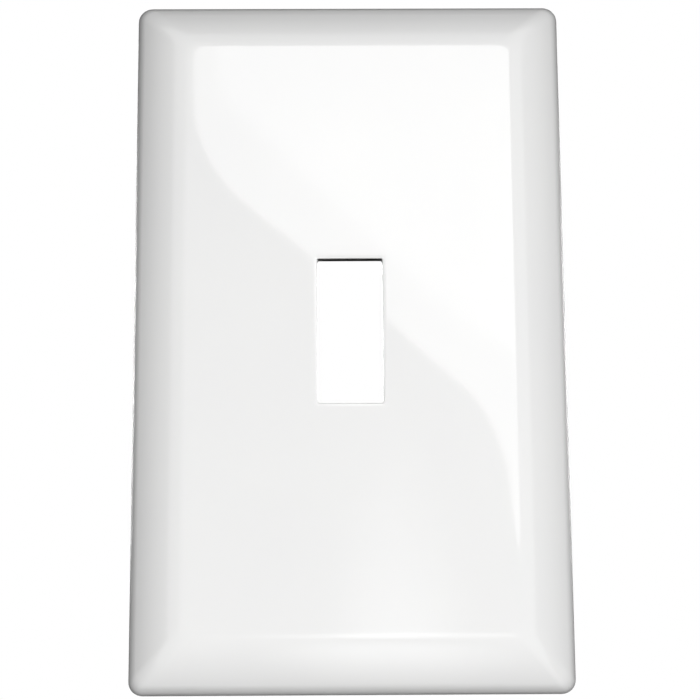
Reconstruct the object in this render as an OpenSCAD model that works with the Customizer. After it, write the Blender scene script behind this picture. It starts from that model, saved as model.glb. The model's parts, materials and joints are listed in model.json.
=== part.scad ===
// Screwless wall plate for a toggle switch: a cover that snaps over a sub-plate, and the two
// screws that hold the sub-plate to the switch's strap.
// Every piece is drawn lying on its back, with x across, y up the plate and z out of the wall,
// and is then stood up so that the wall is the plane y = 0 and the face looks along -y.

/* [Cover] */
// Width of the cover
plate_w = 69.85; // [66:0.05:90]
// Height of the cover
plate_h = 114.3; // [108:0.1:140]
// Depth of the cover, from the wall to its flat face
plate_d = 7; // [6.8:0.1:9]
// Thickness of the moulded wall
wall = 2; // [1.6:0.1:2.2]
// Straight height of the side, from the wall to the rounded edge
side_h = 0.3; // [0.2:0.1:0.8]
// Radius of the rounded outer edge, in section
edge_r = 4.4; // [3.6:0.1:5]
// Radius of the outline's corners
corner_r = 2.2; // [1:0.1:4]
// Width of the bevelled border, from the outline to the flat face
bevel_w = 8.5; // [8:0.1:10.5]
// Radius of the bevel's gentle crown, in section
bevel_r = 14; // [12.5:0.5:20]
// Radius that blends the bevel into the flat face
border_r = 5; // [1:0.5:6]

/* [Toggle opening] */
// Width of the opening
opening_w = 10.4; // [9.6:0.1:12]
// Height of the opening
opening_h = 23.8; // [22:0.1:26]
// Width of the broken edge round the opening
lip = 0.25; // [0.1:0.05:0.5]

/* [Sub-plate] */
// Thickness of the sub-plate's base
base_t = 1.8; // [1.5:0.1:2]
// Room behind the base for the switch's strap
strap_room = 1.4; // [1.1:0.1:1.6]
// Thickness of the rim behind the base
rim_t = 1.6; // [1:0.1:2.2]
// Gap from the rim to the wall
rim_gap = 0.3; // [0.1:0.1:0.8]
// Gap between the sub-plate's edge and the inside of the cover
edge_gap = 0.6; // [0.4:0.1:1.2]
// Radius of the sub-plate's corners
sub_corner_r = 2.5; // [1:0.5:4]
// How far the sub-plate's window stands back from the toggle opening
window_margin = 2.4; // [1.5:0.1:4]
// Width of the stiffening ribs
rib_t = 1; // [0.8:0.1:1.4]
// Height of the stiffening ribs above the base
rib_h = 0.8; // [0.4:0.1:1.2]

/* [Screws] */
// Distance between the two screws
screw_spacing = 60.33; // [54:0.01:66]
// Outer diameter of the screw's thread
thread_d = 3.5; // [3:0.1:3.9]
// Diameter of the plain neck under the screw's head
neck_d = 3; // [2.6:0.1:3.2]
// How far the neck reaches out of the back of the sub-plate
neck_out = 0.2; // [0.15:0.05:0.4]
// Diameter of the screw's head
head_d = 6.6; // [6:0.1:7.2]
// Included angle of the head's cone
head_angle = 82; // [78:1:100]
// Rise of the oval head above its rim
head_rise = 0.4; // [0.3:0.05:0.5]
// Depth of the straight rim of the head
head_land = 0.2; // [0.1:0.05:0.3]
// Length of the screw, from the head's rim to its tip
screw_len = 12.7; // [9:0.1:20]
// Length of the chamfer at the tip
tip_chamfer = 0.7; // [0.3:0.1:1]
// Width of the driving slot
slot_w = 1; // [0.8:0.1:1.3]
// Depth of the driving slot, from the head's crown
slot_d = 1.1; // [0.8:0.1:1.3]
// Width of the boss round the head's seat
boss_wall = 1.5; // [1:0.1:2.5]
// Height of the boss above the base
boss_h = 0.4; // [0.3:0.05:0.5]
// Radial gap round the thread
hole_gap = 0.2; // [0.1:0.05:0.4]
// Radial gap between the head and its seat
seat_gap = 0.06; // [0.04:0.02:0.2]
// How far the head's rim sits below the top of the boss
head_sink = 0.2; // [0.1:0.05:0.3]

/* [Snaps] */
// Distance from the side edge of the sub-plate to the middle of a snap
snap_in_x = 11; // [7:0.5:16]
// Distance from the upper or lower edge of the sub-plate to the back of a post
snap_in_y = 10.5; // [9.5:0.5:16]
// Width of a snap's post
post_w = 6; // [4:0.5:8]
// Thickness of a snap's post
post_t = 1.6; // [1.2:0.1:2.2]
// Gap from the tip of a post to the wall
post_tip = 0.6; // [0.3:0.1:1]
// Height of one tooth along the post
tooth_pitch = 0.8; // [0.6:0.1:1]
// Depth of a tooth
tooth_depth = 0.35; // [0.2:0.05:0.5]
// Number of teeth on a post
tooth_count = 3; // [2:1:4]
// Gap between the teeth and the tip of the pawl
pawl_gap = 0.12; // [0.06:0.02:0.3]
// Free length of a pawl
pawl_len = 4.6; // [3.5:0.1:5.2]
// Thickness of a pawl
pawl_t = 1.1; // [0.8:0.1:1.3]
// Gap round a post and along the sides of a pawl
snap_gap = 0.8; // [0.5:0.1:1.2]

/* [Stops] */
// Thickness of a stop rib inside the cover
stop_t = 1; // [0.7:0.1:1.4]
// Gap between the stop ribs and the sub-plate
stop_gap = 0.05; // [0:0.05:0.2]
// Distance between the two stop ribs on a long side
stop_pitch = 14; // [8:1:18]

/* [Hidden] */
$fn = 96;
arc_step = 5; // degrees between the points of a section's arcs
bite = 0.4; // how far a joined feature reaches into what carries it

// Direction of a vector, in degrees, and the points of an arc after its first one.
function direction(v) = atan2(v[1], v[0]);
function arc(c, r, from, to) = [
    for (i = [1:ceil(abs(to - from) / arc_step)])
        let (a = from + (to - from) * i / ceil(abs(to - from) / arc_step)) c + r * [cos(a), sin(a)]
];

// Centres of the bevel's section, as [distance in from the outline, height], and where its arcs meet.
edge_c = [edge_r, side_h];
border_p = [bevel_w, plate_d];
edge_to_border = border_p - edge_c;
reach = norm(edge_to_border);
along = edge_to_border / reach;
inner_r = bevel_r - edge_r;
chord_a = (inner_r * inner_r - bevel_r * bevel_r + reach * reach) / (2 * reach);
bevel_c = edge_c + chord_a * along + sqrt(inner_r * inner_r - chord_a * chord_a) * [along[1], -along[0]];
blend_z = plate_d - border_r;
blend_drop = blend_z - bevel_c[1];
blend_run = bevel_r - border_r;
blend_c = [bevel_c[0] - sqrt(blend_run * blend_run - blend_drop * blend_drop), blend_z];
edge_angle = direction(edge_c - bevel_c);
blend_angle = direction(blend_c - bevel_c);

// The inside of the cover: its ceiling, and how far in from the outline its wall lies at a height.
ceiling = plate_d - wall;
hollow_r = bevel_r - wall;
knee_r = edge_r - wall;
knee_z = side_h + knee_r * sin(edge_angle);
function hollow_in(z) = z > knee_z
    ? bevel_c[0] - sqrt(hollow_r * hollow_r - pow(z - bevel_c[1], 2))
    : edge_r - sqrt(knee_r * knee_r - pow(max(z - side_h, 0), 2));
hollow_top = [hollow_in(ceiling), ceiling];

// The sub-plate, which fits inside the cover.
base_z = strap_room;
front_z = base_z + base_t;
sub_in = hollow_in(front_z) + edge_gap;
sub_w = plate_w - 2 * sub_in;
sub_h = plate_h - 2 * sub_in;
window_w = opening_w + 2 * window_margin;
window_h = opening_h + 2 * window_margin;

// The screws and their seats.
thread_r = thread_d / 2;
neck_r = neck_d / 2;
head_r = head_d / 2;
cone_h = (head_r - neck_r) / tan(head_angle / 2);
boss_z = front_z + boss_h;
boss_r = head_r + seat_gap + boss_wall;
head_z = boss_z - head_sink;
cone_z = head_z - head_land - cone_h;
neck_end = min(base_z, cone_z) - neck_out - head_z;
crown_r = (head_r * head_r + head_rise * head_rise) / (2 * head_rise);

// The snaps: a post's back stands at post_y, and its teeth face the nearer short side.
post_x = sub_w / 2 - snap_in_x;
post_y = sub_h / 2 - snap_in_y;
teeth_z = post_tip + tooth_pitch;
pawl_tip = post_t + tooth_depth + pawl_gap;
pawl_root = pawl_tip + pawl_len;
pawl_z = base_z + (base_t - pawl_t) / 2;

// Stands a piece that was drawn lying on its back up against the wall.
module stand() {
    rotate([90, 0, 0]) children();
}

// Half of the cover's outer section, from the outline to a middle line.
module outer_section(half) {
    polygon(concat(
        [[0, 0], [0, side_h]],
        arc(edge_c, edge_r, 180, edge_angle),
        arc(bevel_c, bevel_r, edge_angle, blend_angle),
        arc(blend_c, border_r, blend_angle, 90),
        [[half, plate_d], [half, 0]]
    ));
}

// Half of the section of the cover's hollow, open below the wall plane.
module hollow_section(half) {
    polygon(concat(
        [[wall, -bite], [wall, side_h]],
        arc(edge_c, knee_r, 180, edge_angle),
        arc(bevel_c, hollow_r, edge_angle, direction(hollow_top - bevel_c)),
        [[half, ceiling], [half, -bite]]
    ));
}

// Runs a half section, and its mirror image, along y over a plate of the given width and length.
module run_along_y(width, length) {
    rotate([90, 0, 0]) linear_extrude(length, center = true)
        for (side = [0, 1]) mirror([side, 0]) translate([-width / 2, 0]) children();
}

// Where two such runs cross, their bevels meet in mitres.
module mitred(width, length) {
    intersection() {
        run_along_y(width, length) children(0);
        rotate(90) run_along_y(length, width) children(1);
    }
}

// The cover's outer body: mitred bevels, with each corner turned round its own centre.
module outer_body() {
    corner_x = plate_w / 2 - corner_r;
    corner_y = plate_h / 2 - corner_r;
    difference() {
        mitred(plate_w, plate_h) {
            outer_section(plate_w / 2);
            outer_section(plate_h / 2);
        }
        for (sx = [-1, 1], sy = [-1, 1])
            translate([sx * (corner_x + corner_r), sy * (corner_y + corner_r), plate_d / 2])
                cube([2 * corner_r, 2 * corner_r, 2 * plate_d], center = true);
    }
    for (i = [0:3]) {
        sx = i == 0 || i == 3 ? 1 : -1;
        sy = i < 2 ? 1 : -1;
        translate([sx * corner_x, sy * corner_y]) rotate(90 * i)
            rotate_extrude(angle = 90) intersection() {
                translate([corner_r, 0]) mirror([1, 0]) outer_section(bevel_w);
                square([corner_r, plate_d]);
            }
    }
}

// The toggle opening, with its edges broken at the face.
module opening_cut() {
    cube([opening_w, opening_h, 4 * plate_d], center = true);
    intersection() {
        rotate([90, 0, 0]) linear_extrude(opening_h + 4 * lip, center = true) lip_section(opening_w / 2);
        rotate([90, 0, 90]) linear_extrude(opening_w + 4 * lip, center = true) lip_section(opening_h / 2);
    }
}

// Section of the broken edge, which widens towards the face.
module lip_section(half) {
    polygon([
        [-half, plate_d - lip], [half, plate_d - lip],
        [half + 2 * lip, plate_d + lip], [-half - 2 * lip, plate_d + lip]
    ]);
}

// One post with ratchet teeth that hold against a pull off the wall.
module post() {
    tip = [[0, post_tip + tooth_depth], [tooth_depth, post_tip], [post_t - tooth_depth, post_tip]];
    teeth = [for (i = [0:tooth_count - 1]) each [
        [post_t, teeth_z + i * tooth_pitch],
        [post_t + tooth_depth, teeth_z + (i + 1) * tooth_pitch]
    ]];
    root = [[post_t, teeth_z + tooth_count * tooth_pitch], [post_t, ceiling + bite], [0, ceiling + bite]];
    rotate([90, 0, 90]) linear_extrude(post_w, center = true) polygon(concat(tip, teeth, root));
}

// Puts a piece drawn for the upper right snap at all four.
module at_snaps() {
    for (sx = [-1, 1], sy = [0, 1]) mirror([0, sy, 0]) translate([sx * post_x, post_y, 0]) children();
}

// A rib across the corner between the cover's side and its ceiling, drawn for a side at -x.
module stop_rib() {
    half = plate_w / 2;
    intersection() {
        translate([-half + wall / 2, -stop_t / 2, front_z + stop_gap])
            cube([hollow_in(ceiling) + bite, stop_t, ceiling - front_z]);
        rotate([90, 0, 0]) linear_extrude(stop_t, center = true) translate([-half, 0]) outer_section(half);
    }
}

module stop_ribs() {
    for (turn = [0, 180], i = [-1, 1]) rotate(turn) translate([0, i * stop_pitch / 2, 0]) stop_rib();
}

module cover_plate() {
    color("white") stand() difference() {
        union() {
            difference() {
                outer_body();
                mitred(plate_w, plate_h) {
                    hollow_section(plate_w / 2);
                    hollow_section(plate_h / 2);
                }
            }
            at_snaps() post();
            stop_ribs();
        }
        opening_cut();
    }
}

// A flat slab with round corners, between two heights.
module slab(width, length, corner, z0, z1) {
    translate([0, 0, z0]) linear_extrude(z1 - z0) {
        square([width - 2 * corner, length], center = true);
        square([width, length - 2 * corner], center = true);
        for (sx = [-1, 1], sy = [-1, 1])
            translate([sx * (width / 2 - corner), sy * (length / 2 - corner)]) circle(corner);
    }
}

// A stiffening rib on the front of the sub-plate, between two corners of its footprint.
module rib(from, to) {
    translate([from[0], from[1], front_z - bite]) cube([to[0] - from[0], to[1] - from[1], rib_h + bite]);
}

// Ribs on the front of the sub-plate: a frame round the window, and a cross through each boss.
module sub_ribs() {
    half = rib_t / 2;
    slab(window_w + 2 * rib_t, window_h + 2 * rib_t, rib_t, front_z - bite, front_z + rib_h);
    for (sy = [0, 1]) mirror([0, sy, 0]) {
        rib([-half, window_h / 2], [half, post_y]);
        rib([-post_x, screw_spacing / 2 - half], [post_x, screw_spacing / 2 + half]);
    }
}

// One spring pawl, from its root to the wedge that meets the teeth.
module pawl() {
    top = pawl_z + pawl_t;
    root = pawl_root + bite;
    rotate([90, 0, 90]) linear_extrude(post_w, center = true) polygon([
        [root, pawl_z], [pawl_tip + pawl_t / 2, pawl_z], [pawl_tip, top - tooth_depth],
        [pawl_tip, top], [root, top]
    ]);
}

// The window that a post drops into, with room for its pawl.
module snap_window() {
    width = post_w + 2 * snap_gap;
    translate([-width / 2, -snap_gap, 0]) cube([width, pawl_root + snap_gap, 2 * front_z]);
}

// The hole and cone that a screw sits in.
module screw_seat() {
    rim_r = head_r + seat_gap;
    cylinder(r = thread_r + hole_gap, h = 2 * boss_z);
    translate([0, 0, cone_z]) cylinder(r1 = neck_r + seat_gap, r2 = rim_r, h = cone_h);
    translate([0, 0, cone_z + cone_h]) cylinder(r = rim_r, h = boss_z);
}

module sub_plate() {
    color("whitesmoke") stand() {
        difference() {
            union() {
                slab(sub_w, sub_h, sub_corner_r, rim_gap, front_z);
                sub_ribs();
                for (sy = [-1, 1])
                    translate([0, sy * screw_spacing / 2, base_z]) cylinder(r = boss_r, h = boss_z - base_z);
            }
            slab(sub_w - 2 * rim_t, sub_h - 2 * rim_t, max(sub_corner_r - rim_t, rib_t / 2), 0, base_z);
            cube([window_w, window_h, 4 * plate_d], center = true);
            at_snaps() snap_window();
            for (sy = [-1, 1]) translate([0, sy * screw_spacing / 2, 0]) screw_seat();
        }
        at_snaps() pawl();
    }
}

// An oval-head screw whose head's rim lies at z = 0.
module screw() {
    difference() {
        union() {
            rotate_extrude() polygon([
                [0, 0], [head_r, 0], [head_r, -head_land], [neck_r, -head_land - cone_h], [neck_r, neck_end],
                [thread_r, neck_end + neck_r - thread_r], [thread_r, tip_chamfer - screw_len],
                [thread_r - tip_chamfer, -screw_len], [0, -screw_len]
            ]);
            intersection() {
                translate([0, 0, head_rise - crown_r]) sphere(crown_r);
                translate([0, 0, -head_land]) cylinder(r = head_r, h = head_land + 2 * head_rise);
            }
        }
        translate([0, 0, head_rise]) cube([2 * head_d, slot_w, 2 * slot_d], center = true);
    }
}

module upper_screw() {
    color("silver") stand() translate([0, screw_spacing / 2, head_z]) screw();
}

module lower_screw() {
    color("silver") stand() translate([0, -screw_spacing / 2, head_z]) screw();
}

cover_plate();
sub_plate();
upper_screw();
lower_screw();
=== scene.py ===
import json
from math import atan2, ceil, cos, degrees, hypot, pi, radians, sin, sqrt, tan

import bmesh
import bpy
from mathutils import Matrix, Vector


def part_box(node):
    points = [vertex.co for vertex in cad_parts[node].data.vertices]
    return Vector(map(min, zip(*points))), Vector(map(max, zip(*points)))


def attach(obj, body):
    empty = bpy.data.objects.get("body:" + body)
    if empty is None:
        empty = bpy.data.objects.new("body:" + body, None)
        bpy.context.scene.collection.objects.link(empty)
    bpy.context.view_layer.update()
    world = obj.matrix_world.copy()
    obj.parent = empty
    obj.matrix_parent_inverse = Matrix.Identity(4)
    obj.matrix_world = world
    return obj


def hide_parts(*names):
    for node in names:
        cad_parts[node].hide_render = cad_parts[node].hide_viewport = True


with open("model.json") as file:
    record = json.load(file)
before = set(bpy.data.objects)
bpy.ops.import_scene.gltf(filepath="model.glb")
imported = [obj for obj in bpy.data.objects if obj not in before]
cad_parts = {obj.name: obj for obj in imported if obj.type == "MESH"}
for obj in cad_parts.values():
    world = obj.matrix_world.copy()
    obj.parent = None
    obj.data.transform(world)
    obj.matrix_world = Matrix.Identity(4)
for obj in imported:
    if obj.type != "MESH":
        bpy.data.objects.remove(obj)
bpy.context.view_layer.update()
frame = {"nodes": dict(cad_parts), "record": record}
mm = 0.001              # sizes below are in millimetres, Blender works in metres
weldGap = 0.002         # points nearer than this become one
fineStep = 30           # degrees between the points of a small rounded edge
otherCorners = [(-1, 1), (1, -1), (-1, -1)]     # where mirrored copies of the upper right corner go
print("frame loaded:", ", ".join(sorted(frame["nodes"])))


# Tools that the pieces share. They take millimetres and degrees.

def inMetres(point):
    return [value * mm for value in point]


def boxInMm(node):
    low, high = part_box(node)
    return [value / mm for value in low], [value / mm for value in high]


def arcPoints(centre, radius, start, end, step):
    # points of an arc after its first one
    count = ceil(abs(end - start) / step)
    angles = [radians(start + (end - start) * i / count) for i in range(1, count + 1)]
    return [(centre[0] + radius * cos(a), centre[1] + radius * sin(a)) for a in angles]


def angleTo(point, centre):
    return degrees(atan2(point[1] - centre[1], point[0] - centre[0]))


def pick(*pieces):
    # selects these pieces alone, with the first one active
    bpy.ops.object.select_all(action="DESELECT")
    for piece in pieces:
        piece.select_set(True)
    bpy.context.view_layer.objects.active = pieces[0]


def startPiece(name):
    # names the new object and moves its place, turn and scale into its mesh
    piece = bpy.context.object
    piece.name = piece.data.name = name
    bpy.ops.object.transform_apply(location=True, rotation=True, scale=True)
    return piece


def addBox(name, low, high):
    bpy.ops.object.select_all(action="DESELECT")
    middle = [(a + b) / 2 for a, b in zip(low, high)]
    size = [b - a for a, b in zip(low, high)]
    bpy.ops.mesh.primitive_cube_add(size=1, location=inMetres(middle), scale=inMetres(size))
    return startPiece(name)


def selectWhere(kind, test):
    # kind is EDGE or FACE, and test is asked about each one
    bpy.ops.mesh.select_mode(type=kind)
    bpy.ops.mesh.select_all(action="DESELECT")
    mesh = bmesh.from_edit_mesh(bpy.context.object.data)
    for element in mesh.edges if kind == "EDGE" else mesh.faces:
        element.select_set(test(element))
    bmesh.update_edit_mesh(bpy.context.object.data)


def closeUp():
    # welds what meets, points the faces outwards and goes back to object mode
    bpy.ops.mesh.select_all(action="SELECT")
    bpy.ops.mesh.remove_doubles(threshold=weldGap * mm)
    bpy.ops.mesh.dissolve_degenerate(threshold=weldGap * mm)
    bpy.ops.mesh.select_all(action="SELECT")
    bpy.ops.mesh.normals_make_consistent(inside=False)
    bpy.ops.object.mode_set(mode="OBJECT")


def drawLine(name, points):
    # one point, drawn out along the rest of the line, left in edit mode with everything selected
    bpy.ops.object.select_all(action="DESELECT")
    bpy.ops.mesh.primitive_plane_add(size=mm, location=inMetres(points[0]))
    line = startPiece(name)
    bpy.ops.object.mode_set(mode="EDIT")
    bpy.ops.mesh.select_mode(type="VERT")
    bpy.ops.mesh.select_all(action="SELECT")
    bpy.ops.mesh.merge(type="CENTER")
    for before, after in zip(points, points[1:]):
        step = inMetres([b - a for a, b in zip(before, after)])
        bpy.ops.mesh.extrude_region_move(TRANSFORM_OT_translate={"value": step})
    bpy.ops.mesh.select_all(action="SELECT")
    return line


def drawFace(name, outline):
    # a flat outline, closed and filled, left in edit mode
    face = drawLine(name, outline)
    bpy.ops.mesh.edge_face_add()
    return face


def drawBar(name, outline, along):
    # a flat outline, drawn out into a bar
    bar = drawFace(name, outline)
    bpy.ops.mesh.extrude_region_move(TRANSFORM_OT_translate={"value": inMetres(along)})
    closeUp()
    return bar


def turnOnLathe(name, section, steps=64):
    # section is a list of radius and y, turned round the y axis
    turned = drawLine(name, [(radius, y, 0) for radius, y in section])
    bpy.ops.mesh.spin(steps=steps, angle=2 * pi, center=(0, 0, 0), axis=(0, 1, 0))
    closeUp()
    return turned


def moveTo(piece, place):
    piece.location = inMetres(place)
    pick(piece)
    bpy.ops.object.transform_apply(location=True, rotation=True, scale=True)
    return piece


def copyTo(piece, name, place=(0, 0, 0), mirrored=(1, 1, 1)):
    pick(piece)
    bpy.ops.object.duplicate(linked=False)
    double = bpy.context.object
    double.location = inMetres(place)
    double.scale = mirrored
    startPiece(name)
    if min(mirrored) < 0:
        bpy.ops.object.mode_set(mode="EDIT")
        closeUp()
    return double


def atCorners(piece):
    # the piece and its mirrored copies at the other corners of the plate
    copies = [copyTo(piece, piece.name, mirrored=(sideX, 1, sideZ)) for sideX, sideZ in otherCorners]
    return [piece] + copies


def applyModifier(piece, kind, **settings):
    change = piece.modifiers.new(kind.title(), kind)
    for name, value in settings.items():
        setattr(change, name, value)
    pick(piece)
    bpy.ops.object.modifier_apply(modifier=change.name)


def combine(piece, operation, others):
    pick(*others)
    bpy.ops.object.join()
    applyModifier(piece, "BOOLEAN", operation=operation, solver="EXACT", object=others[0])
    bpy.data.objects.remove(others[0])


def finishMesh(piece, angle):
    # welds the leftovers of the joins and cuts, and smooths all but the edges sharper than angle
    pick(piece)
    bpy.ops.object.mode_set(mode="EDIT")
    closeUp()
    bpy.ops.object.shade_smooth_by_angle(angle=radians(angle))


# Cover: a moulded shell with a mitred, crowned bevel and the toggle opening.

cover = {
    "sideHeight": 0.3,      # straight side, from the wall to the rounded edge
    "edgeRadius": 4.4,
    "cornerRadius": 2.2,
    "cornerSteps": 8,
    "bevelWidth": 8.5,
    "bevelRadius": 14.0,    # gentle crown of the bevel
    "borderRadius": 5.0,    # blend into the flat face
    "wall": 2.0,
    "rimRadius": 0.2,
    "arcStep": 3.0,         # degrees between rings on the border's arcs
    "openingWidth": 10.4,
    "openingHeight": 23.8,
    "lipRadius": 0.25,
    "lipStep": 22.5,        # degrees between rings on the opening's lip
    "draft": 1.5,           # degrees by which the opening's walls widen towards the back
    "holdingRing": 0.4,     # keeps the flat faces flat beside an arc
    "smoothAngle": 28,
}
coverLow, coverHigh = boxInMm("cover_plate")
plateWidth = coverHigh[0] - coverLow[0]
plateHeight = coverHigh[2] - coverLow[2]
plateDepth = -coverLow[1]
ceiling = plateDepth - cover["wall"]

# The border's section, as distance in from the outline and height off the wall. The edge's arc, the
# crown and the blend into the face meet without a crease.
edgeCentre = (cover["edgeRadius"], cover["sideHeight"])
toBorder = (cover["bevelWidth"] - edgeCentre[0], plateDepth - edgeCentre[1])
borderReach = hypot(*toBorder)
slope = (toBorder[0] / borderReach, toBorder[1] / borderReach)
crownRadius = cover["bevelRadius"]
crownOffset = crownRadius - cover["edgeRadius"]
chord = (crownOffset ** 2 - crownRadius ** 2 + borderReach ** 2) / (2 * borderReach)
sag = sqrt(crownOffset ** 2 - chord ** 2)
crownCentre = (
    edgeCentre[0] + chord * slope[0] + sag * slope[1],
    edgeCentre[1] + chord * slope[1] - sag * slope[0],
)
blendHeight = plateDepth - cover["borderRadius"]
blendOffset = crownRadius - cover["borderRadius"]
blendRun = sqrt(blendOffset ** 2 - (blendHeight - crownCentre[1]) ** 2)
blendCentre = (crownCentre[0] - blendRun, blendHeight)
edgeAngle = angleTo(edgeCentre, crownCentre)
blendAngle = angleTo(blendCentre, crownCentre)


def hollowIn(height):
    # how far in from the outline the inside of the bevel lies at a height
    return crownCentre[0] - sqrt((crownRadius - cover["wall"]) ** 2 - (height - crownCentre[1]) ** 2)


def coverRings():
    # half width, half height and height off the wall of each ring, round the whole shell
    wall, rim, lip = cover["wall"], cover["rimRadius"], cover["lipRadius"]
    step, hold = cover["arcStep"], cover["holdingRing"]
    outside = [(rim, 0)] + arcPoints((rim, rim), rim, 270, 180, fineStep)
    outside += [(0, edgeCentre[1])]
    outside += arcPoints(edgeCentre, cover["edgeRadius"], 180, edgeAngle, step)
    outside += arcPoints(crownCentre, crownRadius, edgeAngle, blendAngle, step)
    outside += arcPoints(blendCentre, cover["borderRadius"], blendAngle, 90, step)
    outside += [(blendCentre[0] + hold, plateDepth)]
    flare = (wall - lip - rim) * tan(radians(cover["draft"]))
    mouth = [(lip + hold, plateDepth), (lip, plateDepth)]
    mouth += arcPoints((lip, plateDepth - lip), lip, 90, 180, cover["lipStep"])
    mouth += [(flare, ceiling + rim), (flare + rim, ceiling)]
    hollowEdge = (hollowIn(ceiling), ceiling)
    inside = [hollowEdge]
    inside += arcPoints(crownCentre, crownRadius - wall, angleTo(hollowEdge, crownCentre), edgeAngle, step)
    inside += arcPoints(edgeCentre, cover["edgeRadius"] - wall, edgeAngle, 180, step)
    inside += [(wall, rim)] + arcPoints((wall - rim, rim), rim, 0, -90, fineStep) + [(rim, 0)]
    halfX, halfZ = cover["openingWidth"] / 2, cover["openingHeight"] / 2
    rings = [(plateWidth / 2 - inward, plateHeight / 2 - inward, up) for inward, up in outside]
    rings += [(halfX + outward, halfZ + outward, up) for outward, up in mouth]
    return rings + [(plateWidth / 2 - inward, plateHeight / 2 - inward, up) for inward, up in inside]


def makeShell():
    # a rounded rectangle, drawn out ring by ring and closed on itself
    rings = coverRings()
    bpy.ops.object.select_all(action="DESELECT")
    bpy.ops.mesh.primitive_plane_add(size=1, rotation=(pi / 2, 0, 0))
    bpy.context.object.scale = (2 * rings[0][0] * mm, 2 * rings[0][1] * mm, 1)
    shell = startPiece("cover")
    bpy.ops.object.mode_set(mode="EDIT")
    bpy.ops.mesh.select_all(action="SELECT")
    bpy.ops.mesh.bevel(
        offset=cover["cornerRadius"] * mm, segments=cover["cornerSteps"], affect="VERTICES", profile=0.5
    )
    bpy.ops.mesh.select_all(action="SELECT")
    bpy.ops.mesh.delete(type="ONLY_FACE")
    bpy.ops.mesh.select_mode(type="EDGE")
    bpy.ops.mesh.select_all(action="SELECT")
    for before, after in zip(rings, rings[1:]):
        forward = inMetres((0, before[2] - after[2], 0))
        bpy.ops.mesh.extrude_edges_move(TRANSFORM_OT_translate={"value": forward})
        growth = (after[0] / before[0], 1, after[1] / before[1])
        bpy.ops.transform.resize(value=growth, center_override=(0, 0, 0))
    closeUp()
    return shell


# Ratchet posts on the inside of the cover, and ribs that stop it against the mounting plate.

plateLow, plateHigh = boxInMm("sub_plate")
snap = {
    "x": plateHigh[0] - 11,     # middle of a snap, across from the middle of the plate
    "z": plateHigh[2] - 10.5,   # back of its post
    "postWidth": 6.0,
    "postThickness": 1.6,
    "postTip": 0.6,         # gap from the tip to the wall
    "toothPitch": 0.8,
    "toothDepth": 0.35,
    "toothCount": 3,
    "bite": 0.4,            # how far a joined shape reaches into what carries it
}
stops = {"thickness": 1.0, "height": 3.25, "pitch": 14.0}
snapLeft = snap["x"] - snap["postWidth"] / 2


def makePosts():
    # the section is the distance out from a post's back and the height off the wall
    thick, tip, root = snap["postThickness"], snap["postTip"], ceiling + snap["bite"]
    pitch, depth, count = snap["toothPitch"], snap["toothDepth"], snap["toothCount"]
    section = [(0, tip + depth), (depth, tip), (thick - depth, tip)]
    for tooth in range(1, count + 1):
        section += [(thick, tip + tooth * pitch), (thick + depth, tip + (tooth + 1) * pitch)]
    section += [(thick, tip + (count + 1) * pitch), (thick, root), (0, root)]
    outline = [(snapLeft, -up, snap["z"] + out) for out, up in section]
    return atCorners(drawBar("post", outline, (snap["postWidth"], 0, 0)))


def makeStopRibs():
    # the section is the distance in from the outline and the height off the wall
    foot, bite, root = stops["height"], snap["bite"], ceiling + snap["bite"]
    inner = cover["wall"] / 2 + hollowIn(ceiling) + bite
    section = [(hollowIn(foot) - bite, foot), (inner, foot), (inner, root)]
    section += [(hollowIn(ceiling) - bite, root)]
    ribs = []
    for side in (-1, 1):
        for middle in (-stops["pitch"] / 2, stops["pitch"] / 2):
            bottom = middle - stops["thickness"] / 2
            outline = [(side * (plateWidth / 2 - inward), -up, bottom) for inward, up in section]
            ribs.append(drawBar("stopRib", outline, (0, 0, stops["thickness"])))
    return ribs


def makeCover():
    shell = makeShell()
    combine(shell, "UNION", makePosts() + makeStopRibs())
    pick(shell)
    bpy.ops.object.shade_smooth_by_angle(angle=radians(cover["smoothAngle"]))
    print("cover modelled:", len(shell.data.polygons), "faces")
    return shell


# Mounting plate: the moulding behind the cover, screwed to the switch.

mounting = {
    "back": 1.4,            # back of the base, off the wall
    "front": 3.2,           # front of the base
    "rim": 1.6,
    "cornerRadius": 2.5,
    "cornerSteps": 6,
    "windowWidth": 15.2,
    "windowHeight": 28.6,
    "ribWidth": 1.0,
    "ribTop": 4.0,
    "bossRadius": 4.86,
    "bossTop": 3.6,
    "pawlLength": 4.6,
    "pawlThickness": 1.1,
    "pawlGap": 0.12,
    "snapGap": 0.8,         # room round a post and beside a pawl
    "pinMarkRadius": 1.6,   # round marks of the mould's ejector pins
    "pinMarkDepth": 0.25,
    "pinMarkSteps": 32,
    "pinMarks": [(22, 0), (22, 24), (10, 44)],
    "softEdge": 0.15,
    "softSteps": 2,
    "softAngle": 40,        # edges sharper than this are softened
    "smoothAngle": 30,
}
screw = {
    "headRim": 3.4,         # rim of the head, off the wall
    "headLand": 0.2,
    "headRise": 0.4,
    "crownStep": 2,         # degrees between rings on the head's crown
    "coneAngle": 82,
    "neckRadius": 1.5,
    "neckOut": 0.2,         # how far the neck reaches past its seat, where the thread starts
    "holeRadius": 1.95,
    "seatGap": 0.06,
    "pitch": 0.794,         # 32 threads to the inch
    "threadDepth": 0.45,
    "crest": 0.1,
    "flankAngle": 30,
    "turnSteps": 48,
    "tipChamfer": 0.7,
    "slotWidth": 1.0,
    "slotDepth": 1.1,
    "cutterRoom": 1.0,      # how far the slot's cutter stands out of the head
    "smoothAngle": 32,
}
screwLow, screwHigh = boxInMm("upper_screw")
screwMount = next(m for m in frame["record"]["mounts"] if m["name"] == "switch_screws")
screwHeight = screwMount["dims"]["pcd_mm"] / 2
threadRadius = screwMount["dims"]["stud_r_mm"]
rootRadius = threadRadius - screw["threadDepth"]
tipRadius = threadRadius - screw["tipChamfer"]
tipY = screwHigh[1]
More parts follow.
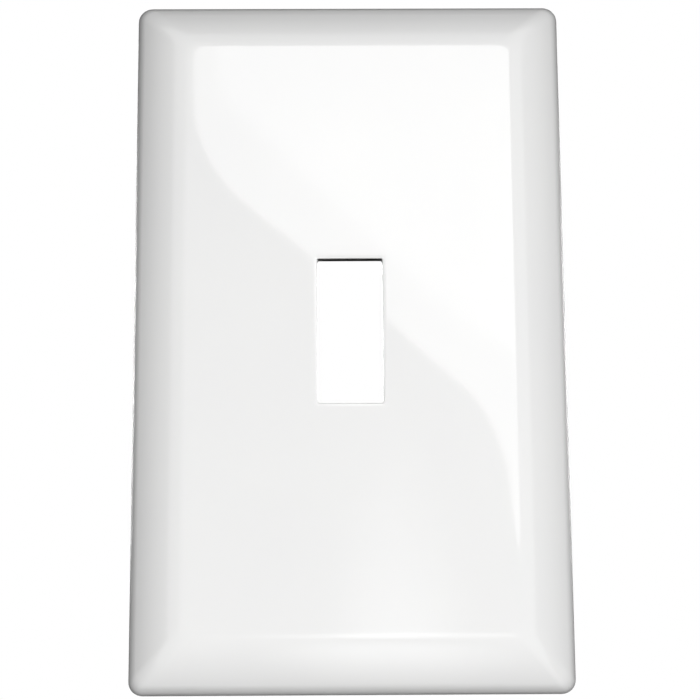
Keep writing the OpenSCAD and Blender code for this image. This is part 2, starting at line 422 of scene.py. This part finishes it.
headRadius = (screwHigh[2] - screwLow[2]) / 2
headY = -screw["headRim"]
landY = headY + screw["headLand"]
crownY = headY - screw["headRise"]
coneSlope = tan(radians(screw["coneAngle"] / 2))
coneY = landY + (headRadius - screw["neckRadius"]) / coneSlope
neckEnd = max(-mounting["back"], coneY) + screw["neckOut"]


def makeBase():
    # a slab with round corners, hollowed from behind so that a rim stands round it
    backward = 0.9      # y of a normal that points to the back
    base = addBox("mountingPlate", (plateLow[0], -mounting["front"], plateLow[2]), plateHigh)
    bpy.ops.object.mode_set(mode="EDIT")
    selectWhere("EDGE", lambda edge: abs(edge.verts[0].co.y - edge.verts[1].co.y) > mm)
    bpy.ops.mesh.bevel(
        offset=mounting["cornerRadius"] * mm, segments=mounting["cornerSteps"], affect="EDGES", profile=0.5
    )
    selectWhere("FACE", lambda face: face.normal.y > backward)
    bpy.ops.mesh.inset(thickness=mounting["rim"] * mm)
    inward = -(mounting["back"] + plateHigh[1])
    bpy.ops.mesh.extrude_region_move(TRANSFORM_OT_translate={"value": inMetres((0, inward, 0))})
    closeUp()
    return base


def makeRibs():
    # a frame round the window, and a cross through each boss
    half = mounting["ribWidth"] / 2
    front, back = -mounting["ribTop"], snap["bite"] - mounting["front"]
    frameX = mounting["windowWidth"] / 2 + mounting["ribWidth"]
    frameZ = mounting["windowHeight"] / 2 + mounting["ribWidth"]
    ribs = [addBox("windowFrame", (-frameX, front, -frameZ), (frameX, back, frameZ))]
    for side in (-1, 1):
        bottom, top = sorted((side * (frameZ - half), side * snap["z"]))
        ribs.append(addBox("rib", (-half, front, bottom), (half, back, top)))
        middle = side * screwHeight
        ribs.append(addBox("rib", (-snap["x"], front, middle - half), (snap["x"], back, middle + half)))
    return ribs


def makeBoss(side):
    radius, soft, top = mounting["bossRadius"], mounting["softEdge"], -mounting["bossTop"]
    bottom = -mounting["back"] - snap["bite"]
    section = [(0, top), (radius - soft, top)]
    section += arcPoints((radius - soft, top + soft), soft, -90, 0, fineStep)
    section += [(radius, bottom), (0, bottom)]
    return moveTo(turnOnLathe("boss", section), (0, 0, side * screwHeight))


def makeSeat(side):
    # the hole and cone that a screw sits in, cut right through
    hole, rim = screw["holeRadius"], headRadius + screw["seatGap"]
    section = [(0, -plateDepth), (rim, -plateDepth), (rim, landY), (hole, landY + (rim - hole) / coneSlope)]
    section += [(hole, plateDepth), (0, plateDepth)]
    return moveTo(turnOnLathe("seat", section), (0, 0, side * screwHeight))


def makePawls():
    # spring tongues that meet the teeth of the cover's posts, and the windows that they stand in
    thick, gap = mounting["pawlThickness"], mounting["snapGap"]
    tip = snap["z"] + snap["postThickness"] + snap["toothDepth"] + mounting["pawlGap"]
    root = tip + mounting["pawlLength"]
    back = (mounting["back"] + mounting["front"] - thick) / 2
    front = back + thick
    section = [(root + snap["bite"], back), (tip + thick / 2, back), (tip, front - snap["toothDepth"])]
    section += [(tip, front), (root + snap["bite"], front)]
    pawl = drawBar("pawl", [(snapLeft, -up, z) for z, up in section], (snap["postWidth"], 0, 0))
    window = addBox(
        "snapWindow", (snapLeft - gap, -2 * mounting["front"], snap["z"] - gap),
        (snapLeft + snap["postWidth"] + gap, mounting["front"], root),
    )
    return atCorners(pawl), atCorners(window)


def makePinMarks():
    radius, floorY = mounting["pinMarkRadius"], -mounting["back"] - mounting["pinMarkDepth"]
    section = [(0, floorY), (radius, floorY), (radius, 0), (0, 0)]
    marks = []
    for x, z in mounting["pinMarks"]:
        for sideX, sideZ in [(1, 1)] + otherCorners:
            if z or sideZ > 0:      # one mark to a side at mid height
                mark = turnOnLathe("pinMark", section, mounting["pinMarkSteps"])
                marks.append(moveTo(mark, (sideX * x, 0, sideZ * z)))
    return marks


def makeMountingPlate():
    plate = makeBase()
    for rib in makeRibs():
        combine(plate, "UNION", [rib])
    halfX, halfZ = mounting["windowWidth"] / 2, mounting["windowHeight"] / 2
    window = addBox("window", (-halfX, -plateDepth, -halfZ), (halfX, plateDepth, halfZ))
    pawls, snapWindows = makePawls()
    combine(plate, "DIFFERENCE", [window] + snapWindows)
    applyModifier(
        plate, "BEVEL", width=mounting["softEdge"] * mm, segments=mounting["softSteps"],
        limit_method="ANGLE", angle_limit=radians(mounting["softAngle"]),
        miter_outer="MITER_ARC", use_clamp_overlap=True,
    )
    combine(plate, "DIFFERENCE", makePinMarks())
    combine(plate, "UNION", pawls)
    combine(plate, "UNION", [makeBoss(-1), makeBoss(1)])
    combine(plate, "DIFFERENCE", [makeSeat(-1), makeSeat(1)])
    finishMesh(plate, mounting["smoothAngle"])
    applyModifier(plate, "WEIGHTED_NORMAL", keep_sharp=True)  # flat faces shade flat
    print("mounting plate modelled:", len(plate.data.polygons), "faces")
    return plate


# Screws: oval heads with a slot, a plain neck and a rolled thread. One is modelled and copied.

def makeThread():
    # one ridge, wound round the screw's axis and trimmed to a run-out at each end
    crest, pitch = screw["crest"], screw["pitch"]
    foot, start = rootRadius - crest, neckEnd - 2 * pitch
    flank = (threadRadius - foot) * tan(radians(screw["flankAngle"]))
    ridge = [(foot, 0), (threadRadius, flank), (threadRadius, flank + crest), (foot, 2 * flank + crest)]
    thread = drawFace("thread", [(radius, start + y, 0) for radius, y in ridge])
    bpy.ops.mesh.delete(type="ONLY_FACE")
    bpy.ops.object.mode_set(mode="OBJECT")
    applyModifier(
        thread, "SCREW", axis="Y", screw_offset=pitch * mm, iterations=ceil((tipY - start) / pitch) + 1,
        steps=screw["turnSteps"], render_steps=screw["turnSteps"],
    )
    bpy.ops.object.mode_set(mode="EDIT")
    bpy.ops.mesh.select_all(action="SELECT")
    bpy.ops.mesh.fill_holes(sides=0)
    closeUp()
    room = threadRadius + crest
    section = [(0, neckEnd), (rootRadius, neckEnd), (room, neckEnd + room - rootRadius)]
    section += [(room, tipY + tipRadius - room), (tipRadius, tipY), (0, tipY)]
    combine(thread, "INTERSECT", [turnOnLathe("blank", section)])
    return thread


def makeScrew():
    rise, neck, half = screw["headRise"], screw["neckRadius"], screw["slotWidth"] / 2
    crown = (headRadius ** 2 + rise ** 2) / (2 * rise)
    spread = degrees(atan2(headRadius, crown - rise))
    section = [(0, crownY)]
    section += arcPoints((0, crownY + crown), crown, 270, 270 + spread, screw["crownStep"])
    section += [(headRadius, landY), (neck, coneY), (neck, neckEnd)]
    section += [(rootRadius, neckEnd + neck - rootRadius), (rootRadius, tipY + tipRadius - rootRadius)]
    section += [(tipRadius, tipY), (0, tipY)]
    piece = turnOnLathe("upperScrew", section)
    slot = addBox(
        "slot", (-2 * headRadius, crownY - screw["cutterRoom"], -half),
        (2 * headRadius, crownY + screw["slotDepth"], half),
    )
    combine(piece, "DIFFERENCE", [slot])
    combine(piece, "UNION", [makeThread()])
    finishMesh(piece, screw["smoothAngle"])
    print("screw modelled:", len(piece.data.polygons), "faces")
    return piece


coverPiece = makeCover()
mountingPiece = makeMountingPlate()
upperPiece = makeScrew()
lowerPiece = copyTo(upperPiece, "lowerScrew", place=(0, 0, -screwHeight))
moveTo(upperPiece, (0, 0, screwHeight))

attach(coverPiece, "cover")
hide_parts("cover_plate")
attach(mountingPiece, "mounting")
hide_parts("sub_plate")
for piece, node in ((upperPiece, "upper_screw"), (lowerPiece, "lower_screw")):
    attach(piece, node)
    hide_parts(node)


# Materials. Sizes of their patterns are in millimetres, and a sheen is the least and most roughness.

def fromHex(code):
    # sRGB hex colour to the linear one that the shaders take
    parts = [int(code[i:i + 2], 16) / 255 for i in (1, 3, 5)]
    return [p / 12.92 if p <= 0.04045 else ((p + 0.055) / 1.055) ** 2.4 for p in parts] + [1]


def scaleOf(size):
    # scale of a pattern whose features have this size
    return 1 / (size * mm)


def addNode(tree, kind, settings=None, links=None):
    # a socket goes by its name, or by its number where several share a name
    node = tree.nodes.new(kind)
    for name, value in (settings or {}).items():
        if isinstance(name, int) or name in node.inputs:
            node.inputs[name].default_value = value
        else:
            setattr(node, name, value)
    for name, source in (links or {}).items():
        tree.links.new(source, node.inputs[name])
    return node


def newMaterial(name):
    material = bpy.data.materials.new(name)
    material.use_nodes = True
    material.node_tree.nodes.clear()
    return material, material.node_tree


def glossWhiteAbs():
    # ABS from a polished mould: a clear gloss over a faint haze, barely wavy where the wall cooled
    finish = {
        "white": "#F2F2F1", "flow": "#EEEEEE", "flowSize": 22,
        "waveSize": 9, "waveHeight": 0.0015,
        "buffSize": 4, "sheen": (0.26, 0.34),
    }
    material, tree = newMaterial("glossWhiteAbs")
    place = addNode(tree, "ShaderNodeTexCoord").outputs["Object"]
    flow = addNode(
        tree, "ShaderNodeTexNoise", {"Scale": scaleOf(finish["flowSize"]), "Detail": 2}, {"Vector": place}
    )
    colour = addNode(
        tree, "ShaderNodeMix",
        {"data_type": "RGBA", 6: fromHex(finish["white"]), 7: fromHex(finish["flow"])},
        {0: flow.outputs["Fac"]},
    )
    wave = addNode(
        tree, "ShaderNodeTexNoise", {"Scale": scaleOf(finish["waveSize"]), "Detail": 1}, {"Vector": place}
    )
    bump = addNode(
        tree, "ShaderNodeBump", {"Strength": 1, "Distance": finish["waveHeight"] * mm},
        {"Height": wave.outputs["Fac"]},
    )
    buff = addNode(
        tree, "ShaderNodeTexNoise", {"Scale": scaleOf(finish["buffSize"]), "Detail": 3}, {"Vector": place}
    )
    sheen = addNode(
        tree, "ShaderNodeMapRange", {"To Min": finish["sheen"][0], "To Max": finish["sheen"][1]},
        {"Value": buff.outputs["Fac"]},
    )
    shader = addNode(
        tree, "ShaderNodeBsdfPrincipled",
        {
            "IOR": 1.53, "Specular IOR Level": 0.03,
            "Coat Weight": 1, "Coat IOR": 1.5, "Coat Roughness": 0.028,
        },
        {
            "Base Color": colour.outputs[2], "Roughness": sheen.outputs["Result"],
            "Normal": bump.outputs["Normal"], "Coat Normal": bump.outputs["Normal"],
        },
    )
    addNode(tree, "ShaderNodeOutputMaterial", None, {"Surface": shader.outputs["BSDF"]})
    return material


def satinPolycarbonate():
    # polycarbonate from a spark-eroded mould: a fine even grain that scatters the light softly
    finish = {
        "white": "#E9E9E5", "flow": "#E2E2DD", "flowSize": 18,
        "grainSize": 0.3, "grainHeight": 0.006,     # coarser than the real grain, so that it shows
        "sheen": (0.42, 0.54),
    }
    material, tree = newMaterial("satinPolycarbonate")
    place = addNode(tree, "ShaderNodeTexCoord").outputs["Object"]
    flow = addNode(
        tree, "ShaderNodeTexNoise", {"Scale": scaleOf(finish["flowSize"]), "Detail": 3}, {"Vector": place}
    )
    colour = addNode(
        tree, "ShaderNodeMix",
        {"data_type": "RGBA", 6: fromHex(finish["white"]), 7: fromHex(finish["flow"])},
        {0: flow.outputs["Fac"]},
    )
    grain = addNode(
        tree, "ShaderNodeTexNoise", {"Scale": scaleOf(finish["grainSize"]), "Detail": 2}, {"Vector": place}
    )
    bump = addNode(
        tree, "ShaderNodeBump", {"Strength": 1, "Distance": finish["grainHeight"] * mm},
        {"Height": grain.outputs["Fac"]},
    )
    sheen = addNode(
        tree, "ShaderNodeMapRange", {"To Min": finish["sheen"][0], "To Max": finish["sheen"][1]},
        {"Value": flow.outputs["Fac"]},
    )
    shader = addNode(
        tree, "ShaderNodeBsdfPrincipled", {"IOR": 1.58},
        {
            "Base Color": colour.outputs[2], "Roughness": sheen.outputs["Result"],
            "Normal": bump.outputs["Normal"],
        },
    )
    addNode(tree, "ShaderNodeOutputMaterial", None, {"Surface": shader.outputs["BSDF"]})
    return material


def zincPlatedSteel():
    # bright zinc over turned steel: a cool sheen with fine rings round the screw's axis
    finish = {
        "bright": "#D3D7DB", "dull": "#BDC2C8", "patchSize": 1.2,
        "ringPitch": 0.14, "ringHeight": 0.003,     # coarser than real turning marks, so that they show
        "sheen": (0.2, 0.34),
    }
    waveLength = pi / 10    # of a wave texture whose scale is 1
    material, tree = newMaterial("zincPlatedSteel")
    place = addNode(tree, "ShaderNodeTexCoord").outputs["Object"]
    patch = addNode(
        tree, "ShaderNodeTexNoise", {"Scale": scaleOf(finish["patchSize"]), "Detail": 3}, {"Vector": place}
    )
    colour = addNode(
        tree, "ShaderNodeMix",
        {"data_type": "RGBA", 6: fromHex(finish["bright"]), 7: fromHex(finish["dull"])},
        {0: patch.outputs["Fac"]},
    )
    # both screws lie as far from the middle, so one centre serves them
    folded = addNode(tree, "ShaderNodeVectorMath", {"operation": "ABSOLUTE"}, {0: place})
    centred = addNode(
        tree, "ShaderNodeMapping", {"Location": inMetres((0, 0, -screwHeight))},
        {"Vector": folded.outputs["Vector"]},
    )
    rings = addNode(
        tree, "ShaderNodeTexWave",
        {
            "wave_type": "RINGS", "rings_direction": "Y",
            "Scale": waveLength * scaleOf(finish["ringPitch"]), "Distortion": 0.4,
        },
        {"Vector": centred.outputs["Vector"]},
    )
    bump = addNode(
        tree, "ShaderNodeBump", {"Strength": 1, "Distance": finish["ringHeight"] * mm},
        {"Height": rings.outputs["Fac"]},
    )
    sheen = addNode(
        tree, "ShaderNodeMapRange", {"To Min": finish["sheen"][0], "To Max": finish["sheen"][1]},
        {"Value": patch.outputs["Fac"]},
    )
    shader = addNode(
        tree, "ShaderNodeBsdfPrincipled", {"Metallic": 1},
        {
            "Base Color": colour.outputs[2], "Roughness": sheen.outputs["Result"],
            "Normal": bump.outputs["Normal"],
        },
    )
    addNode(tree, "ShaderNodeOutputMaterial", None, {"Surface": shader.outputs["BSDF"]})
    return material


def seenByEye(tree):
    # 1 for what the camera sees, straight, mirrored or through, and 0 for light that lands on surfaces
    path = addNode(tree, "ShaderNodeLightPath")
    mirrored = addNode(
        tree, "ShaderNodeMath", {"operation": "MAXIMUM"},
        {0: path.outputs["Is Camera Ray"], 1: path.outputs["Is Glossy Ray"]},
    )
    through = addNode(
        tree, "ShaderNodeMath", {"operation": "MAXIMUM"},
        {0: mirrored.outputs["Value"], 1: path.outputs["Is Transmission Ray"]},
    )
    return through.outputs["Value"]


def paleFloor():
    # painted studio board: pale, flat and faintly mottled, running out into the white ground
    finish = {
        "light": "#E8E8E8", "dark": "#E2E2E2", "mottleSize": 60, "roughness": 0.8,
        "fadeSize": 1400, "whiteNear": 0.5,     # share of white below the plate, which is all at the edge
    }
    material, tree = newMaterial("paleFloor")
    place = addNode(tree, "ShaderNodeTexCoord").outputs["Object"]
    mottle = addNode(
        tree, "ShaderNodeTexNoise", {"Scale": scaleOf(finish["mottleSize"])}, {"Vector": place}
    )
    colour = addNode(
        tree, "ShaderNodeMix",
        {"data_type": "RGBA", 6: fromHex(finish["light"]), 7: fromHex(finish["dark"])},
        {0: mottle.outputs["Fac"]},
    )
    board = addNode(
        tree, "ShaderNodeBsdfPrincipled", {"Roughness": finish["roughness"]},
        {"Base Color": colour.outputs[2]},
    )
    fadeScale = scaleOf(finish["fadeSize"])
    flat = addNode(tree, "ShaderNodeMapping", {"Scale": (fadeScale, fadeScale, 0)}, {"Vector": place})
    near = addNode(
        tree, "ShaderNodeTexGradient", {"gradient_type": "SPHERICAL"}, {"Vector": flat.outputs["Vector"]}
    )
    fade = addNode(
        tree, "ShaderNodeMapRange", {"To Min": 1, "To Max": finish["whiteNear"]},
        {"Value": near.outputs["Fac"]},
    )
    share = addNode(
        tree, "ShaderNodeMath", {"operation": "MULTIPLY"}, {0: fade.outputs["Result"], 1: seenByEye(tree)}
    )
    white = addNode(tree, "ShaderNodeEmission", {"Strength": 1})
    mixed = addNode(
        tree, "ShaderNodeMixShader", None,
        {0: share.outputs["Value"], 1: board.outputs["BSDF"], 2: white.outputs["Emission"]},
    )
    addNode(tree, "ShaderNodeOutputMaterial", None, {"Surface": mixed.outputs["Shader"]})
    return material


def cardGlow(name, strength):
    # a lit diffuser, seen only as a reflection
    material, tree = newMaterial(name)
    glow = addNode(tree, "ShaderNodeEmission", {"Strength": strength})
    addNode(tree, "ShaderNodeOutputMaterial", None, {"Surface": glow.outputs["Emission"]})
    return material


def softGlow(name, middle, reach, strength):
    # light on a diffuser, full in the middle, gone at the edge and clear to what lies behind
    fullFrom = 0.7      # 1 is the very middle
    material, tree = newMaterial(name)
    place = addNode(tree, "ShaderNodeTexCoord").outputs["Object"]
    size = [value * mm or 1 for value in reach]     # 1 where the card is flat
    centred = addNode(
        tree, "ShaderNodeMapping", {"vector_type": "TEXTURE", "Location": inMetres(middle), "Scale": size},
        {"Vector": place},
    )
    ball = addNode(
        tree, "ShaderNodeTexGradient", {"gradient_type": "SPHERICAL"}, {"Vector": centred.outputs["Vector"]}
    )
    bright = addNode(
        tree, "ShaderNodeMapRange", {"From Max": fullFrom, "To Max": strength},
        {"Value": ball.outputs["Fac"]},
    )
    glow = addNode(tree, "ShaderNodeEmission", None, {"Strength": bright.outputs["Result"]})
    clear = addNode(tree, "ShaderNodeBsdfTransparent")
    both = addNode(
        tree, "ShaderNodeAddShader", None, {0: glow.outputs["Emission"], 1: clear.outputs["BSDF"]}
    )
    addNode(tree, "ShaderNodeOutputMaterial", None, {"Surface": both.outputs["Shader"]})
    return material


def flagBlack():
    # black flock, which gives nothing back
    material, tree = newMaterial("flagBlack")
    shader = addNode(tree, "ShaderNodeBsdfDiffuse", {"Color": fromHex("#020202")})
    addNode(tree, "ShaderNodeOutputMaterial", None, {"Surface": shader.outputs["BSDF"]})
    return material


zinc = zincPlatedSteel()
coverPiece.data.materials.append(glossWhiteAbs())
mountingPiece.data.materials.append(satinPolycarbonate())
upperPiece.data.materials.append(zinc)
lowerPiece.data.materials.append(zinc)
print("materials made")


# Camera.

view = {
    "place": (-4.11, -380.33, -99.21),
    "turn": (104.41, 0.382, -0.523),
    "lens": 124.86,
    "sensor": 36,
    "clipStart": 10,
}
cameraData = bpy.data.cameras.new("camera")
cameraData.lens = view["lens"]
cameraData.sensor_width = view["sensor"]
cameraData.clip_start = view["clipStart"] * mm
camera = bpy.data.objects.new("camera", cameraData)
camera.location = inMetres(view["place"])
camera.rotation_euler = [radians(angle) for angle in view["turn"]]
bpy.context.scene.collection.objects.link(camera)
bpy.context.scene.camera = camera
bpy.context.scene.view_settings.view_transform = "Standard"


# Lamps. The photo's light is a flash near the camera. The window fills from the right, and two lamps
# with grids light the plate's back without spilling on the floor.

lamps = {
    "flash": {"place": (27, -607, -80), "size": (100, 26), "power": 2.7},
    "window": {"place": (420, -600, -60), "size": (300, 300), "power": 1.0},
    "rearLeft": {
        "place": (-400, 700, 200), "size": (200, 200), "power": 0.2, "spread": 40, "reflected": True,
    },
    "rearRight": {
        "place": (400, 700, 200), "size": (200, 200), "power": 0.2, "spread": 40, "reflected": True,
    },
}


def addLamp(name, place, size, power, spread=180, reflected=False):
    # an oval lamp aimed at the middle of the plate, which the camera doesn't see
    data = bpy.data.lights.new(name, "AREA")
    data.shape = "ELLIPSE"
    data.size, data.size_y = inMetres(size)
    data.energy = power
    data.spread = radians(spread)
    lamp = bpy.data.objects.new(name, data)
    lamp.location = inMetres(place)
    lamp.rotation_euler = (-Vector(place)).to_track_quat("-Z", "Y").to_euler()
    lamp.visible_camera = False
    lamp.visible_glossy = reflected
    bpy.context.scene.collection.objects.link(lamp)


for lampName, lampSettings in lamps.items():
    addLamp(lampName, **lampSettings)


# Cards and flags, which only reflections see.

def cardCorners(low, high):
    # corners of a card that is flat along one axis, from two opposite ones
    first, second = [axis for axis in range(3) if low[axis] != high[axis]]
    corners = [list(low) for corner in range(4)]
    corners[1][first] = corners[2][first] = high[first]
    corners[2][second] = corners[3][second] = high[second]
    return corners


def addCard(name, outline, material, rounding=0, roundingSteps=4):
    card = drawFace(name, outline)
    if rounding:
        bpy.ops.mesh.bevel(offset=rounding * mm, segments=roundingSteps, affect="VERTICES", profile=0.5)
    bpy.ops.object.mode_set(mode="OBJECT")
    card.data.materials.append(material)
    card.visible_camera = card.visible_diffuse = card.visible_transmission = card.visible_shadow = False


# Reflection of a bright window in the face, with a slanting edge and a brighter core in front of it.
glare = {
    "farSide": 220,
    "rounding": 12,
    "edge": {
        "line": [
            (-78, 450), (-75, 350), (-60, 320), (-30, 294), (10, 262),
            (45, 228), (80, 197), (93, 165), (97, 120),
        ],
        "distance": 900,
        "strength": 3.35,
    },
    "core": {
        "line": [(-66, 450), (-62, 370), (-34, 340), (7, 300), (50, 257), (85, 229), (110, 215)],
        "distance": 890,
        "strength": 4.2,
    },
}
for part in ("edge", "core"):
    line, distance = glare[part]["line"], glare[part]["distance"]
    sheet = line + [(glare["farSide"], line[-1][1]), (glare["farSide"], line[0][1])]
    glow = cardGlow("glow" + part.title(), glare[part]["strength"])
    addCard("glare" + part.title(), [(x, -distance, z) for x, z in sheet], glow, glare["rounding"])

# Soft reflections: the flash's pool of light below the plate, which hazes the lower bevel, and the flash
# in its diffuser, which shows as a spot at the border above it. A reach of 0 is the card's flat side.
softCards = {
    "flashPool": {"middle": (16, -260, -210), "reach": (42, 250, 0), "strength": 1.7},
    "flashLine": {"middle": (25, -400, -95), "reach": (80, 0, 85), "strength": 1.8},
    "flashSpot": {"middle": (18, -402, -50), "reach": (26, 0, 120), "strength": 1.8},
}
for cardName, card in softCards.items():
    low = [middle - reach for middle, reach in zip(card["middle"], card["reach"])]
    high = [middle + reach for middle, reach in zip(card["middle"], card["reach"])]
    addCard(cardName, cardCorners(low, high), softGlow(cardName + "Glow", **card))

# Black flags round and behind the plate, so that its edges and the walls of its opening reflect dark.
flags = {
    "back": 30,                                             # of the frame and the patch, behind the plate
    "innerX": 42, "innerZ": 64, "outerX": 600, "outerZ": 600,   # the frame
    "patchX": 14, "patchZ": 22,                             # the patch behind the opening
    "wingX": 192, "topZ": 214,                              # wings beside the plate, and the top above it
    "wingBack": -2, "wingFront": -200, "topFront": -115,
}
black = flagBlack()
back, wingBack = flags["back"], flags["wingBack"]
innerX, innerZ, outerX, outerZ = flags["innerX"], flags["innerZ"], flags["outerX"], flags["outerZ"]
wingX, topZ, patchX, patchZ = flags["wingX"], flags["topZ"], flags["patchX"], flags["patchZ"]
for side in (-1, 1):
    upright = cardCorners((side * innerX, back, -outerZ), (side * outerX, back, outerZ))
    level = cardCorners((-innerX, back, side * innerZ), (innerX, back, side * outerZ))
    wing = cardCorners((side * wingX, wingBack, -topZ), (side * wingX, flags["wingFront"], topZ))
    addCard("flagUpright", upright, black)
    addCard("flagLevel", level, black)
    addCard("flagWing", wing, black)
addCard("flagTop", cardCorners((-wingX, wingBack, topZ), (wingX, flags["topFront"], topZ)), black)
addCard("flagPatch", cardCorners((-patchX, back, -patchZ), (patchX, back, patchZ)), black)

# A folded strip in the mouth of the opening, which the camera doesn't see, shades the upper wall.
strip = {"gap": 0.06, "drop": 0.45, "inset": 0.05}      # gap and drop are measured from that wall
halfWidth, upperWall = cover["openingWidth"] / 2, cover["openingHeight"] / 2
stripFront, shelf = strip["inset"] - plateDepth, upperWall - strip["drop"]
fold = [(stripFront, upperWall - strip["gap"]), (stripFront, shelf), (-ceiling, shelf)]
flagStrip = drawLine("flagStrip", [(-halfWidth, y, z) for y, z in fold])
bpy.ops.mesh.extrude_edges_move(TRANSFORM_OT_translate={"value": inMetres((2 * halfWidth, 0, 0))})
bpy.ops.object.mode_set(mode="OBJECT")
flagStrip.data.materials.append(black)
flagStrip.visible_camera = False


# White ground, and a floor well below the plate.

studio = {"ambient": 0.09, "white": 1.0}    # strength on surfaces, and of what the eye sees
floorBoard = {"size": 3000, "drop": 700}
world = bpy.data.worlds.new("studio")
bpy.context.scene.world = world
world.use_nodes = True
worldTree = world.node_tree
worldTree.nodes.clear()
brightness = addNode(
    worldTree, "ShaderNodeMapRange", {"To Min": studio["ambient"], "To Max": studio["white"]},
    {"Value": seenByEye(worldTree)},
)
background = addNode(
    worldTree, "ShaderNodeBackground", {"Color": (1, 1, 1, 1)}, {"Strength": brightness.outputs["Result"]}
)
addNode(worldTree, "ShaderNodeOutputWorld", None, {"Surface": background.outputs["Background"]})

bpy.ops.object.select_all(action="DESELECT")
floorPlace = inMetres((0, 0, -floorBoard["drop"]))
bpy.ops.mesh.primitive_plane_add(size=floorBoard["size"] * mm, location=floorPlace)
floor = bpy.context.object
floor.name = "floor"
floor.data.materials.append(paleFloor())
print("camera, lamps, cards and floor set")
